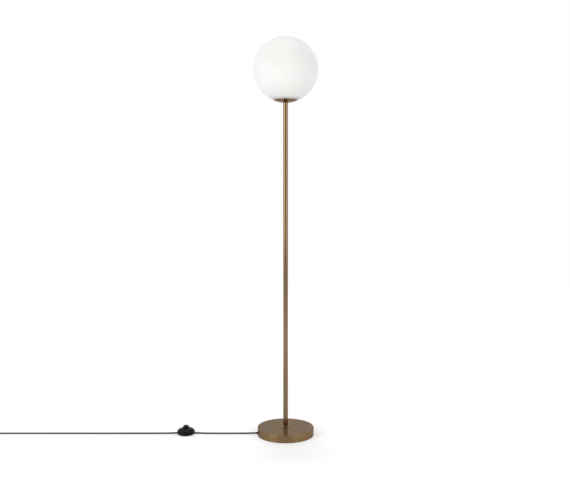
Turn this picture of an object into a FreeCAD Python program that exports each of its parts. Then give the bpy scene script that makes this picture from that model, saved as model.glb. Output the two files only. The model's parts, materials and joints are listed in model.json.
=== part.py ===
import FreeCAD, Part

# A floor lamp: a round weighted base, a slender pole in three sections, a shallow dish
# and an opal glass globe, with a foot switch on the lead, a coil of spare lead and a plug.
# Millimetres. +Z is up, the origin is the middle of the base on the floor, the lead leaves
# along -X and +Y points to the back.

import math
import os

V = FreeCAD.Vector
UP = V(0, 0, 1)

# ---------------------------------------------------------------- driving dimensions

# base
base_radius = 107.5
base_height = 28.5
cover_wall = 1.2
cover_edge_radius = 1.5
cover_floor_gap = 0.9
pad_thickness = 1.4
pad_radius = 9.0
pad_taper = 0.6
pad_distance_from_edge = 14.5
pad_count = 6
weight_gap = 0.5
weight_edge_chamfer = 2.0
pocket_radius = 24.0
pocket_roof_thickness = 4.9
relief_inner_radius = 42.0
relief_outer_radius = 82.0
relief_depth = 8.5
relief_draft = 1.0
relief_count = 6
relief_angle = 43.0
collar_radius = 14.75
collar_thickness = 2.2
collar_rounding = 0.55

# threaded tube and what screws on it
thread_radius = 5.0
thread_bore_radius = 4.0
thread_clearance = 0.05
thread_engagement = 12.0
nut_across_flats = 14.0
nut_height = 3.5
washer_radius = 13.0
washer_thickness = 1.5
thread_past_nut = 1.0

# pole
pole_radius = 9.25
pole_wall = 1.0
pole_length = 1242.0
pole_sections = 3
end_chamfer = 0.15
insert_length = 14.0
insert_clearance = 0.02
pole_fit_gap = 0.1

# dish and globe
dish_radius = 45.0
dish_below_globe = 1.94
dish_wall = 1.0
dish_lip = 1.0
dish_hub_radius = 11.0
globe_radius = 125.0
glass_wall = 3.0
globe_opening_radius = 34.0
globe_rim_gap = 1.2
seat_gap = 0.3
gasket_inner_radius = 35.5
gasket_outer_radius = 40.5
clip_thickness = 0.8
clip_width = 9.0
clip_plate_radius = 10.2
clip_count = 3
clip_overhang = 0.7
clip_height = 11.0

# lampholder and bulb
holder_radius = 20.0
holder_wall = 1.8
holder_neck_radius = 8.5
holder_neck_height = 6.0
holder_cone_height = 8.0
holder_cap_height = 24.0
core_thickness = 6.0
socket_radius = 13.6
socket_shell_wall = 0.5
bulb_cap_radius = 13.25
bulb_cap_height = 22.0
bulb_seat_gap = 0.5
bulb_tip_radius = 3.0
bulb_tip_foot_radius = 7.0
bulb_tip_height = 2.4
bulb_radius = 30.0
bulb_length = 109.0
bulb_neck_radius = 15.0
bulb_neck_height = 6.0

# lead
cord_radius = 3.0
bushing_wall = 1.1
bushing_inside = 18.0
bushing_outside = 5.0
bushing_tip_wall = 0.5
channel_clearance = 0.3
lead_bend_radius = 13.5
clamp_length = 26.0
clamp_width = 9.0
clamp_thickness = 1.0
clamp_distance = 33.0
clamp_screw_spacing = 17.0
small_screw_radius = 1.5
small_screw_head_radius = 2.8
small_screw_length = 8.0

# foot switch
switch_distance = 381.6
switch_radius = 33.6
switch_foot_radius = 28.0
switch_height = 24.0
switch_parting_height = 9.0
switch_wall = 1.8
switch_pad_thickness = 0.8
switch_pad_radius = 3.5
switch_pad_circle = 19.0
button_radius = 12.4
button_top_radius = 8.6
button_top_height = 33.6
button_wall = 2.0
button_flange = 1.8
button_flange_thickness = 1.6
button_travel = 3.0
button_gap = 0.35
stem_radius = 7.6
stem_wall = 2.4
axle_radius = 2.4
axle_gap = 0.05
rotor_radius = 8.6
rotor_thickness = 3.0
rotor_floor_gap = 1.3
bridge_thickness = 0.4
contact_gap = 0.3
ratchet_teeth = 8
ratchet_height = 4.0
ratchet_gap = 0.45
peg_share = 0.22
spring_wire_radius = 0.45
spring_radius = 3.1
spring_turns = 4
boss_radius = 3.2
boss_circle = 24.0
cover_screw_radius = 1.3
cover_screw_head_radius = 2.6
cover_screw_head_height = 1.2
grip_distance = 23.5
grip_length = 13.0
grip_width = 4.0
grip_thickness = 1.6
grip_screw_spacing = 9.6
grip_screw_radius = 0.9
cord_end_in_switch = 16.0
switch_cord_floor = 0.65
cord_hole_gap = 0.25

# free lead: straight out of a housing, then down to the floor
cord_out = 12.0
cord_down = 30.0

# coil of spare lead, tie and plug
coil_distance = 1138.0
coil_radius = 38.0
coil_pitch = 6.6
coil_layer_turns = 2.25
coil_tail = 46.0
tie_thickness = 0.8
tie_width = 9.0
tie_gap = 0.25
tie_angle = 225.0
plug_thickness = 13.7
plug_width = 35.0
plug_length = 36.0
plug_tail_length = 22.0
plug_tail_radius = 5.2
plug_tail_tip_radius = 3.7
plug_tail_grooves = 4
plug_edge_chamfer = 2.2
pin_radius = 2.0
pin_length = 19.0
pin_sleeve_length = 10.0
pin_core_radius = 1.5
pin_root = 6.0
pin_tip_chamfer = 0.8
pin_spacing = 18.6

# the arc at each corner of a cord's route, as a share of its shorter run
cord_arc_share = 0.45

# ---------------------------------------------------------------- derived sizes

cord_exit_height = pad_thickness + cord_radius
weight_radius = base_radius - cover_wall - weight_gap
pad_circle_radius = base_radius - pad_distance_from_edge
weight_top = base_height - cover_wall
pocket_top = weight_top - pocket_roof_thickness
pole_top = base_height + pole_length
section_length = pole_length / pole_sections
dish_floor = pole_top + dish_wall

# The globe stands in the dish's rim.
globe_radius_at_rim = dish_radius - dish_wall - globe_rim_gap
globe_rise_to_rim = math.sqrt(globe_radius**2 - globe_radius_at_rim**2)
dish_depth = globe_radius - globe_rise_to_rim + dish_below_globe
dish_rim_height = pole_top + dish_depth
globe_centre = dish_rim_height + globe_rise_to_rim
glass_inner_radius = globe_radius - glass_wall

# The dish is part of a ball: its centre lies on the pole's axis above the dish.
dish_drop = dish_depth - dish_lip
dish_centre_rise = (dish_radius**2 - dish_hub_radius**2 + dish_drop**2) / (2 * dish_drop)
dish_ball_radius = math.hypot(dish_centre_rise, dish_hub_radius)
dish_ball_inner = dish_ball_radius - dish_wall

# lampholder and bulb heights
clip_plate_top = dish_floor + clip_thickness
holder_bottom = clip_plate_top + nut_height
neck_thread_top = holder_bottom + holder_neck_height
holder_cap_top = holder_bottom + holder_cap_height
core_top = holder_cap_top + core_thickness / 2
bulb_tip_bottom = core_top + 1.0
bulb_cap_bottom = bulb_tip_bottom + bulb_tip_height
bulb_cap_top = bulb_cap_bottom + bulb_cap_height
holder_top = bulb_cap_top - bulb_seat_gap
bulb_top = bulb_tip_bottom + bulb_length
bulb_centre = bulb_top - bulb_radius

# foot switch
switch_x = -switch_distance
switch_floor = switch_pad_thickness + switch_wall
rotor_bottom = switch_floor + rotor_floor_gap
rotor_top = rotor_bottom + rotor_thickness
rotor_screw_seat = rotor_top + ratchet_height + 0.6
button_bottom = switch_height - 5.5
stem_bottom = rotor_top + ratchet_height + button_travel + ratchet_gap
button_ceiling = button_top_height - button_wall - 1.0
switch_cord_height = switch_pad_thickness + switch_cord_floor + cord_hole_gap + cord_radius

# coil
cord_floor_height = cord_radius + 0.05
coil_centre = V(-coil_distance, -coil_radius, 0)
coil_low = tie_thickness + tie_gap + cord_radius
coil_high = coil_low + coil_pitch
plug_axis_height = plug_thickness / 2
plug_cord_end_x = -coil_distance - coil_tail


# ---------------------------------------------------------------- shape helpers

def line(start, end):
    return Part.LineSegment(start, end).toShape()


def arc(start, middle, end):
    return Part.Arc(start, middle, end).toShape()


def rounding(before, corner, after, radius):
    """Start, middle and end of the arc that rounds a corner."""
    to_before = (before - corner).normalize()
    to_after = (after - corner).normalize()
    half = to_before.getAngle(to_after) / 2
    reach = radius / math.tan(half)
    inward = (to_before + to_after).normalize()
    centre = corner + inward * (radius / math.sin(half))
    return corner + to_before * reach, centre - inward * radius, corner + to_after * reach


def outline(*corners):
    """A closed face in the XZ plane through (x, z) corners.

    (x, z, radius) is a rounded corner. ((x, z), (x, z)) is an arc: its middle, then its end.
    """
    steps = []
    for corner in corners:
        if isinstance(corner[0], tuple):
            middle, end = corner
            steps.append((V(end[0], 0, end[1]), 0, V(middle[0], 0, middle[1])))
        else:
            radius = corner[2] if len(corner) > 2 else 0
            steps.append((V(corner[0], 0, corner[1]), radius, None))
    count = len(steps)
    arrive, leave, rounds = [], [], []
    for i, (point, radius, _) in enumerate(steps):
        if radius > 0:
            before = steps[i - 1][0]
            after = steps[(i + 1) % count][0]
            start, middle, end = rounding(before, point, after, radius)
            rounds.append(arc(start, middle, end))
        else:
            start, end = point, point
            rounds.append(None)
        arrive.append(start)
        leave.append(end)
    edges = []
    for i in range(count):
        middle = steps[i][2]
        if middle is not None:
            edges.append(arc(leave[i - 1], middle, arrive[i]))
        elif leave[i - 1].distanceToPoint(arrive[i]) > 1e-6:
            edges.append(line(leave[i - 1], arrive[i]))
        if rounds[i]:
            edges.append(rounds[i])
    return Part.Face(Part.Wire(edges))


def turned(face, angle=360.0):
    """The face turned about the Z axis."""
    return face.revolve(V(0, 0, 0), UP, angle)


def disc(radius, bottom, top, x=0.0, y=0.0):
    return Part.makeCylinder(radius, top - bottom, V(x, y, bottom))


def ring(outer, inner, bottom, top, x=0.0, y=0.0):
    return disc(outer, bottom, top, x, y).cut(disc(inner, bottom - 1, top + 1, x, y))


def block(x_range, y_range, z_range):
    low = V(x_range[0], y_range[0], z_range[0])
    high = V(x_range[1], y_range[1], z_range[1])
    size = high - low
    return Part.makeBox(size.x, size.y, size.z, low)


def centred(middle, width):
    return (middle - width / 2, middle + width / 2)


def around(shape, angle, centre=V(0, 0, 0)):
    """A copy of the shape turned about a vertical line through the centre."""
    copy = shape.copy()
    copy.rotate(centre, UP, angle)
    return copy


def moved(shape, x=0.0, y=0.0, z=0.0):
    copy = shape.copy()
    copy.translate(V(x, y, z))
    return copy


def on_circle(radius, angle):
    return radius * math.cos(math.radians(angle)), radius * math.sin(math.radians(angle))


def ball_height(ball_radius, centre_height, radius):
    """Height of the lower half of a ball at a distance from its axis."""
    return centre_height - math.sqrt(ball_radius**2 - radius**2)


def hexagon_nut(across_flats, bore, bottom, top):
    corner = across_flats / 2 / math.cos(math.pi / 6)
    points = [V(*on_circle(corner, 60 * i), bottom) for i in range(7)]
    body = Part.Face(Part.makePolygon(points)).extrude(V(0, 0, top - bottom))
    return body.cut(disc(bore, bottom - 1, top + 1))


def flat_screw(radius, head_radius, head_height, length, bottom):
    """Countersunk screw, head down, its axis on Z."""
    return turned(outline(
        (0, bottom), (head_radius, bottom), (radius, bottom + head_height),
        (radius, bottom + length), (0, bottom + length),
    ))


def strip(points, thickness):
    """A closed face in the XZ plane: a bent strip whose outer side runs through the points."""
    outer = [V(x, 0, z) for x, z in points]
    inner = []
    for i, point in enumerate(outer):
        sides = []
        if i > 0:
            sides.append((point - outer[i - 1]).normalize())
        if i + 1 < len(outer):
            sides.append((outer[i + 1] - point).normalize())
        normals = [V(-side.z, 0, side.x) for side in sides]
        middle = V(0, 0, 0)
        for normal in normals:
            middle += normal
        middle.normalize()
        inner.append(point + middle * (thickness / middle.dot(normals[0])))
    loop = outer + inner[::-1]
    return Part.Face(Part.makePolygon(loop + loop[:1]))


# ---------------------------------------------------------------- cord helpers

def cord_path(points, radii=None):
    """Straight runs joined by tangent arcs. Returns the edges and the arcs' radii."""
    edges, used = [], []
    start = points[0]
    for i in range(1, len(points) - 1):
        before, corner, after = points[i - 1:i + 2]
        shorter = min((before - corner).Length, (after - corner).Length)
        half_turn = (math.pi - (before - corner).getAngle(after - corner)) / 2
        radius = cord_arc_share * shorter / math.tan(half_turn)
        if radii:
            radius = radii[i - 1]
        arc_start, middle, arc_end = rounding(before, corner, after, radius)
        edges.append(line(start, arc_start))
        edges.append(arc(arc_start, middle, arc_end))
        used.append(radius)
        start = arc_end
    edges.append(line(start, points[-1]))
    return edges, used


def tube_along(edges, radius, start, direction):
    """A round solid along joined edges."""
    path = Part.Wire(edges)
    section = Part.Wire([Part.Circle(start, direction, radius).toShape()])
    solid = path.makePipeShell([section], True, False)
    expected = math.pi * radius**2 * path.Length
    return solid, path.Length, solid.Volume / expected


def cord_tube(name, points, radius, radii=None):
    edges, used = cord_path(points, radii)
    solid, length, share = tube_along(edges, radius, points[0], points[1] - points[0])
    print(f"{name}: length {length:.1f}, volume share {share:.4f}, "
          f"arc radii {[round(r, 1) for r in used]}")
    return solid


def biarc(start, start_way, end, end_way):
    """Two arcs that leave one point along one direction and reach another along its own."""
    gap = end - start
    ways = start_way + end_way
    along = gap.dot(ways)
    spread = 2 * (1 - start_way.dot(end_way))
    reach = (math.sqrt(along**2 + spread * gap.dot(gap)) - along) / spread
    first = start + start_way * reach
    second = end - end_way * reach
    joint = (first + second) * 0.5
    edges = []
    for a, corner, b in ((start, first, joint), (joint, second, end)):
        half_chord = (b - a).Length / 2
        slope = math.acos(min(1.0, half_chord / reach))
        bulge = math.tan(slope / 2) / math.tan(slope)
        middle = (a + b) * 0.5
        edges.append(arc(a, middle + (corner - middle) * bulge, b))
    return edges


def wound_edges(point_at, way_at, steps):
    """Biarcs through the points of a winding at the given steps."""
    edges = []
    for a, b in zip(steps, steps[1:]):
        edges += biarc(point_at(a), way_at(a), point_at(b), way_at(b))
    return edges


def least_gap(edges, radius, spacing=1.5):
    """Least distance between two turns' surfaces, measured on points of the centre line."""
    points, places, travelled = [], [], 0.0
    for edge in edges:
        count = max(2, int(edge.Length / spacing))
        for i in range(count):
            share = edge.FirstParameter + (edge.LastParameter - edge.FirstParameter) * i / count
            points.append(edge.valueAt(share))
            places.append(travelled + edge.Length * i / count)
        travelled += edge.Length
    apart = 4 * math.pi * radius
    least = float("inf")
    for i, point in enumerate(points):
        for j in range(i + 1, len(points)):
            if places[j] - places[i] > apart:
                least = min(least, point.distanceToPoint(points[j]))
    return least - 2 * radius


# ---------------------------------------------------------------- base

def make_base_cover():
    """Spun shell, open below, with a hole for the nipple and a notch for the lead."""
    skirt = cover_floor_gap
    inner = base_radius - cover_wall
    hole = thread_radius + thread_clearance
    shell = turned(outline(
        (hole, base_height), (base_radius, base_height, cover_edge_radius), (base_radius, skirt),
        (inner, skirt), (inner, weight_top), (hole, weight_top),
    ))
    notch_radius = cord_radius + bushing_wall
    notch = Part.makeCylinder(
        notch_radius, 4 * cover_wall, V(-base_radius - cover_wall, 0, cord_exit_height), V(1, 0, 0)
    )
    notch_foot = block(
        (-base_radius - cover_wall, -base_radius + 3 * cover_wall),
        centred(0, 2 * notch_radius), (0, cord_exit_height),
    )
    return shell.cut(notch).cut(notch_foot)


def make_base_weight():
    """Cast disc with a nut pocket, relieved sectors and the lead's channel on its underside."""
    low = pad_thickness
    body = turned(outline(
        (0, low), (weight_radius, low), (weight_radius, weight_top - weight_edge_chamfer),
        (weight_radius - weight_edge_chamfer, weight_top), (0, weight_top),
    ))
    body = body.cut(disc(pocket_radius, low - 1, pocket_top))
    body = body.cut(disc(thread_radius + thread_clearance, low, weight_top + 1))
    relief = turned(outline(
        (relief_inner_radius, low - 1), (relief_outer_radius, low - 1),
        (relief_outer_radius - relief_draft, low + relief_depth),
        (relief_inner_radius + relief_draft, low + relief_depth),
    ), relief_angle)
    step = 360.0 / relief_count
    for i in range(relief_count):
        body = body.cut(around(relief, i * step + (step - relief_angle) / 2))
    half = cord_radius + bushing_wall + channel_clearance
    channel_top = cord_exit_height + half
    channel = block((-weight_radius - 1, 0), (-half, half), (low - 1, channel_top))
    body = body.cut(channel)
    for side in (-1, 1):
        y = side * clamp_screw_spacing / 2
        hole = disc(small_screw_radius, low - 1, small_screw_length + 1.5, -clamp_distance, y)
        body = body.cut(hole)
    return body


def make_floor_pads():
    pad = turned(outline(
        (0, 0), (pad_radius, 0), (pad_radius - pad_taper, pad_thickness), (0, pad_thickness),
    ))
    step = 360.0 / pad_count
    places = [on_circle(pad_circle_radius, step / 2 + i * step) for i in range(pad_count)]
    return Part.makeCompound([moved(pad, x, y) for x, y in places])


def make_cord_bushing():
    """Tapered sleeve in the notch: it grips the lead and stands out of the cover."""
    outer = cord_radius + bushing_wall
    tip = cord_radius + bushing_tip_wall
    face = outline(
        (cord_radius, -bushing_outside), (tip, -bushing_outside), (outer, 0),
        (outer, bushing_inside), (cord_radius, bushing_inside),
    )
    sleeve = turned(face)
    sleeve.rotate(V(0, 0, 0), V(0, 1, 0), 90)
    return moved(sleeve, -base_radius, 0, cord_exit_height)


def make_cord_clamp():
    """Bar that presses the lead into its channel."""
    top = pad_thickness
    bar = block(
        centred(-clamp_distance, clamp_width), centred(0, clamp_length), (top - clamp_thickness, top)
    )
    bar = bar.makeFillet(2.0, [e for e in bar.Edges if abs(e.tangentAt(e.FirstParameter).z) > 0.9])
    for side in (-1, 1):
        cut = flat_screw(
            small_screw_radius, small_screw_head_radius, clamp_thickness, clamp_thickness + 1,
            top - clamp_thickness,
        )
        bar = bar.cut(moved(cut, -clamp_distance, side * clamp_screw_spacing / 2))
    return bar


def make_clamp_screws():
    screw = flat_screw(
        small_screw_radius, small_screw_head_radius, clamp_thickness, small_screw_length,
        pad_thickness - clamp_thickness,
    )
    places = [side * clamp_screw_spacing / 2 for side in (-1, 1)]
    return Part.makeCompound([moved(screw, -clamp_distance, y) for y in places])


def make_foot_fastening():
    washer_bottom = pocket_top - washer_thickness
    nut_bottom = washer_bottom - nut_height
    bore = thread_radius + thread_clearance
    return {
        "foot_nipple": ring(
            thread_radius, thread_bore_radius, nut_bottom - thread_past_nut,
            base_height + thread_engagement,
        ),
        "foot_nut": hexagon_nut(nut_across_flats, bore, nut_bottom, washer_bottom),
        "foot_washer": ring(washer_radius, bore, washer_bottom, pocket_top),
    }


def make_foot_collar():
    inner = pole_radius + pole_fit_gap
    top = base_height + collar_thickness
    return turned(outline(
        (inner, base_height), (collar_radius, base_height),
        (collar_radius, top, collar_thickness * collar_rounding), (inner, top),
    ))


# ---------------------------------------------------------------- pole

def make_pole():
    nodes = {}
    names = ["pole_lower", "pole_middle", "pole_upper"]
    inner = pole_radius - pole_wall
    for i, name in enumerate(names):
        bottom = base_height + i * section_length
        top = bottom + section_length
        nodes[name] = turned(outline(
            (inner, bottom), (pole_radius - end_chamfer, bottom), (pole_radius, bottom + end_chamfer),
            (pole_radius, top - end_chamfer), (pole_radius - end_chamfer, top), (inner, top),
        ))
    outer = inner - insert_clearance
    bore = thread_radius + thread_clearance
    plugs = []
    for i in range(pole_sections):
        bottom = base_height + i * section_length
        top = bottom + section_length
        plugs.append(ring(outer, bore, bottom, bottom + insert_length))
        plugs.append(ring(outer, bore, top - insert_length, top))
    nodes["tube_inserts"] = Part.makeCompound(plugs)
    joints = [base_height + i * section_length for i in range(1, pole_sections)]
    nodes["joint_nipples"] = Part.makeCompound([
        ring(thread_radius, thread_bore_radius, z - thread_engagement, z + thread_engagement)
        for z in joints
    ])
    return nodes


def make_inner_lead():
    """The lead from the bushing's mouth, through the weight and up the pole to the lampholder."""
    points = [
        V(-base_radius - bushing_outside, 0, cord_exit_height),
        V(0, 0, cord_exit_height),
        V(0, 0, neck_thread_top + 2.0),
    ]
    return cord_tube("inner_lead", points, cord_radius, [lead_bend_radius])


# ---------------------------------------------------------------- dish and globe

def make_holder_dish():
    """Spun dish: a flat hub on the pole, a shallow ball-shaped bowl and an upright lip."""
    centre = pole_top + dish_centre_rise
    bore = thread_radius + thread_clearance
    lip_inner = dish_radius - dish_wall
    outer_mid = (dish_hub_radius + dish_radius) / 2
    hub_inner = math.sqrt(dish_ball_inner**2 - (centre - dish_floor) ** 2)
    inner_mid = (hub_inner + lip_inner) / 2
    face = outline(
        (bore, pole_top), (dish_hub_radius, pole_top),
        ((outer_mid, ball_height(dish_ball_radius, centre, outer_mid)),
         (dish_radius, dish_rim_height - dish_lip)),
        (dish_radius, dish_rim_height), (lip_inner, dish_rim_height),
        (lip_inner, ball_height(dish_ball_inner, centre, lip_inner)),
        ((inner_mid, ball_height(dish_ball_inner, centre, inner_mid)), (hub_inner, dish_floor)),
        (bore, dish_floor),
    )
    return turned(face)


def make_globe_gasket():
    """Soft ring that lies on the dish and follows the globe."""
    centre = pole_top + dish_centre_rise
    middle = (gasket_inner_radius + gasket_outer_radius) / 2
    seat = globe_radius + seat_gap
    return turned(outline(
        (gasket_inner_radius, ball_height(dish_ball_inner, centre, gasket_inner_radius)),
        ((middle, ball_height(dish_ball_inner, centre, middle)),
         (gasket_outer_radius, ball_height(dish_ball_inner, centre, gasket_outer_radius))),
        (gasket_outer_radius, ball_height(seat, globe_centre, gasket_outer_radius)),
        ((middle, ball_height(seat, globe_centre, middle)),
         (gasket_inner_radius, ball_height(seat, globe_centre, gasket_inner_radius))),
    ))


def make_globe():
    """Blown glass ball, open below, its opening cut upright."""
    outer_edge = ball_height(globe_radius, globe_centre, globe_opening_radius)
    inner_edge = ball_height(glass_inner_radius, globe_centre, globe_opening_radius)
    face = outline(
        (globe_opening_radius, outer_edge),
        ((globe_radius, globe_centre), (0, globe_centre + globe_radius)),
        (0, globe_centre + glass_inner_radius),
        ((glass_inner_radius, globe_centre), (globe_opening_radius, inner_edge)),
    )
    return turned(face)


def make_globe_clips():
    """Spring plate with three legs that stand through the opening and bear on its edge."""
    bore = thread_radius + thread_clearance
    edge_top = ball_height(glass_inner_radius, globe_centre, globe_opening_radius)
    edge_bottom = ball_height(globe_radius, globe_centre, globe_opening_radius)
    leg_radius = globe_opening_radius - 0.4
    plate = ring(clip_plate_radius, bore, dish_floor, clip_plate_top)
    bend_radius = leg_radius - 3.0
    centre = pole_top + dish_centre_rise
    bend_height = ball_height(dish_ball_inner, centre, bend_radius) + 0.25
    leg = strip([
        (clip_plate_radius - 2.0, dish_floor),
        (clip_plate_radius, dish_floor),
        (bend_radius, bend_height),
        (leg_radius, edge_bottom + 0.6),
        (leg_radius, edge_top + 0.5),
        (globe_opening_radius + clip_overhang, edge_top + 2.2),
        (leg_radius - 4.5, edge_bottom + clip_height),
    ], clip_thickness)
    leg = leg.extrude(V(0, clip_width, 0))
    leg.translate(V(0, -clip_width / 2, 0))
    body = plate
    for i in range(clip_count):
        body = body.fuse(around(leg, 60 + i * 360.0 / clip_count))
    return body.removeSplitter()


# ---------------------------------------------------------------- lampholder and bulb

def make_lampholder():
    bore = thread_radius + thread_clearance
    low = holder_bottom
    neck = low + holder_neck_height
    cone = neck + holder_cone_height
    wall = holder_wall
    cap = turned(outline(
        (bore, low), (holder_neck_radius, low), (holder_neck_radius, neck),
        (holder_radius, cone), (holder_radius, holder_cap_top),
        (holder_radius - wall, holder_cap_top), (holder_radius - wall, cone + wall),
        (holder_neck_radius, neck + wall), (bore, neck + wall),
    ))
    core_bottom = core_top - core_thickness
    core_radius = holder_radius - wall - 0.2
    core = disc(core_radius, core_bottom, core_top)
    terminals = []
    for side in (-1, 1):
        x = side * core_radius * 0.6
        terminals.append(block(centred(x, 5), centred(0, 6), (core_bottom - 7, core_bottom)))
    sleeve = turned(outline(
        (holder_radius - wall, holder_cap_top), (holder_radius, holder_cap_top),
        (holder_radius, holder_top - 1.0), (holder_radius - 1.0, holder_top),
        (socket_radius + socket_shell_wall, holder_top),
        (socket_radius + socket_shell_wall, holder_top - 2.0),
        (holder_radius - wall, holder_top - 2.0),
    ))
    shell = ring(socket_radius + socket_shell_wall, socket_radius, core_top, holder_top)
    contact = block(centred(0, 10), centred(0, 4), (core_top, core_top + 0.5))
    contact = contact.fuse(disc(2.0, core_top + 0.5, bulb_tip_bottom))
    return {
        "holder_cap": cap,
        "holder_core": core,
        "holder_terminals": Part.makeCompound(terminals),
        "holder_sleeve": sleeve,
        "holder_screw_shell": shell,
        "holder_contact": contact,
    }


def make_bulb():
    housing_top = bulb_centre - bulb_radius * 0.35
    rim = math.sqrt(bulb_radius**2 - (bulb_centre - housing_top) ** 2)
    housing = turned(outline(
        (0, bulb_cap_top), (bulb_neck_radius - 1.0, bulb_cap_top), (bulb_neck_radius, bulb_cap_top + 1.0),
        (bulb_neck_radius, bulb_cap_top + bulb_neck_height), (rim, housing_top), (0, housing_top),
    ))
    dome = turned(outline(
        (0, housing_top), (rim, housing_top), ((bulb_radius, bulb_centre), (0, bulb_top)),
    ))
    cap = turned(outline(
        (0, bulb_cap_bottom), (bulb_cap_radius - 3.0, bulb_cap_bottom),
        (bulb_cap_radius, bulb_cap_bottom + 3.0), (bulb_cap_radius, bulb_cap_top), (0, bulb_cap_top),
    ))
    tip = turned(outline(
        (0, bulb_tip_bottom), (bulb_tip_radius, bulb_tip_bottom),
        (bulb_tip_foot_radius, bulb_cap_bottom), (0, bulb_cap_bottom),
    ))
    return {"bulb_housing": housing, "bulb_dome": dome, "bulb_cap": cap, "bulb_contact": tip}


# ---------------------------------------------------------------- foot switch

def switch_places():
    """The three screw bosses stand clear of the lead's two entries."""
    return [on_circle(boss_circle, angle) for angle in (50, 130, 270)]


def ratchet_wedge(share_start, share_end, low, high, inner, outer):
    """A piece of one ramp: it fills the given share of a tooth's pitch, from low to high."""
    pitch = 2 * math.pi * (inner + outer) / 2 / ratchet_teeth
    start = share_start * pitch
    end = share_end * pitch
    points = [
        V(inner, start, low[0]), V(inner, end, low[1]), V(inner, end, high[1]), V(inner, start, high[0]),
    ]
    corners = [points[0]]
    for point in points[1:]:
        if point.distanceToPoint(corners[-1]) > 1e-6:
            corners.append(point)
    face = Part.Face(Part.makePolygon(corners + corners[:1]))
    return face.extrude(V(outer - inner, 0, 0))


def make_switch_base():
    """Lower half of the housing: floor, rising wall, axle, screw holes and lead entries."""
    low = switch_pad_thickness
    top = switch_parting_height
    wall = switch_wall
    knee = (switch_radius - 1.4, low + 3.6)
    shoulder = switch_radius - 0.2
    shell = turned(outline(
        (0, low), (switch_foot_radius, low), knee + (3.0,), (shoulder, top),
        (shoulder - wall, top), (knee[0] - wall, knee[1] + wall / 2),
        (switch_foot_radius - wall / 2, switch_floor), (0, switch_floor),
    ))
    axle = disc(axle_radius, switch_floor, rotor_screw_seat)
    rest = disc(axle_radius + 1.2, switch_floor, rotor_bottom - 0.3)
    shell = shell.fuse(axle).fuse(rest)
    shell = shell.cut(disc(grip_screw_radius, switch_floor + 2, rotor_screw_seat + 1))
    for x, y in switch_places():
        head = flat_screw(
            cover_screw_radius + 0.2, cover_screw_head_radius, cover_screw_head_height, 10, low
        )
        seat = ring(boss_radius, cover_screw_radius + 0.2, switch_floor, switch_floor + 1, x, y)
        shell = shell.fuse(seat).cut(moved(head, x, y))
    for side in (-1, 1):
        for y in (-grip_screw_spacing / 2, grip_screw_spacing / 2):
            post = ring(
                1.8, grip_screw_radius, switch_floor, switch_cord_height + cord_radius,
                side * grip_distance, y,
            )
            shell = shell.fuse(post)
    for side in (-1, 1):
        entry = Part.makeCylinder(
            cord_radius + cord_hole_gap, switch_radius,
            V(side * (cord_end_in_switch - 1.0), 0, switch_cord_height), V(side, 0, 0),
        )
        shell = shell.cut(entry)
    return moved(shell, switch_x)


def dome_outline(gap):
    """Points of the cover's dome, moved in by the gap: at the parting, the bulge and the top."""
    top = switch_height
    parting = switch_parting_height
    return [
        (switch_radius - gap, parting),
        (switch_radius - 0.2 - gap, parting + 4.0),
        (switch_radius - 2.6 - gap * 0.8, parting + 8.0 - gap * 0.6),
        (switch_radius - 9.6 - gap * 0.45, top - 2.8 - gap * 0.9),
        (button_radius + button_gap, top - gap),
    ]


def make_switch_cover():
    """Upper half: a domed shell with a hole for the button and three screw bosses."""
    outer = dome_outline(0)
    inner = dome_outline(switch_wall)
    shell = turned(outline(
        outer[0], (outer[1], outer[2]), (outer[3], outer[4]),
        inner[4], inner[3], inner[2], inner[0],
    ))
    ceiling = turned(outline(
        (0, switch_parting_height - 5), inner[0][:1] + (switch_parting_height - 5,), inner[0],
        inner[2], inner[3], inner[4], (0, inner[4][1]),
    ))
    for x, y in switch_places():
        boss = ring(boss_radius, cover_screw_radius, switch_floor + 1.1, switch_height, x, y)
        shell = shell.fuse(boss.common(ceiling))
    return moved(shell, switch_x)


def make_switch_button():
    """Round button: tapered top, straight skirt, flange below the cover and a stem with pegs."""
    flange = button_radius + button_flange
    flange_top = button_bottom + button_flange_thickness
    skirt_top = switch_height + 0.6
    stem_inner = stem_radius - stem_wall
    inner = button_radius - button_wall
    body = turned(outline(
        (0, button_ceiling), (stem_radius, button_ceiling), (inner, button_ceiling - 3.5),
        (inner, button_bottom), (flange, button_bottom), (flange, flange_top),
        (button_radius, flange_top), (button_radius, skirt_top),
        (button_top_radius, button_top_height, 2.4), (0, button_top_height + 0.4),
    ))
    body = body.fuse(ring(stem_radius, stem_inner, stem_bottom, button_ceiling))
    pegs_low = rotor_top + ratchet_gap
    low = (pegs_low + ratchet_height * (1 - peg_share), pegs_low + ratchet_height)
    peg = ratchet_wedge(
        1 - peg_share, 1, low, (stem_bottom + 1, stem_bottom + 1), stem_inner + 0.2, stem_radius - 0.2
    )
    for i in range(ratchet_teeth):
        body = body.fuse(around(peg, i * 360.0 / ratchet_teeth))
    return moved(body, switch_x)


def make_switch_rotor():
    """Ratchet wheel with eight ramps. The pegs of the button slide down them and turn it."""
    bore = axle_radius + axle_gap
    body = ring(rotor_radius, bore, rotor_bottom, rotor_top)
    wedge = ratchet_wedge(
        0, 0.97, (rotor_top - 0.5, rotor_top - 0.5), (rotor_top, rotor_top + ratchet_height * 0.97),
        stem_radius - stem_wall, rotor_radius - 0.8,
    )
    for i in range(ratchet_teeth):
        body = body.fuse(around(wedge, i * 360.0 / ratchet_teeth))
    bridge_bottom = rotor_bottom - bridge_thickness
    bridge = ring(rotor_radius - 0.6, bore + 2.2, bridge_bottom, rotor_bottom)
    gap = block(centred(0, 2 * rotor_radius), centred(0, 6), (bridge_bottom, rotor_bottom))
    return {
        "switch_rotor": moved(body, switch_x),
        "rotor_bridge": moved(bridge.cut(gap), switch_x),
    }


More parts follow.
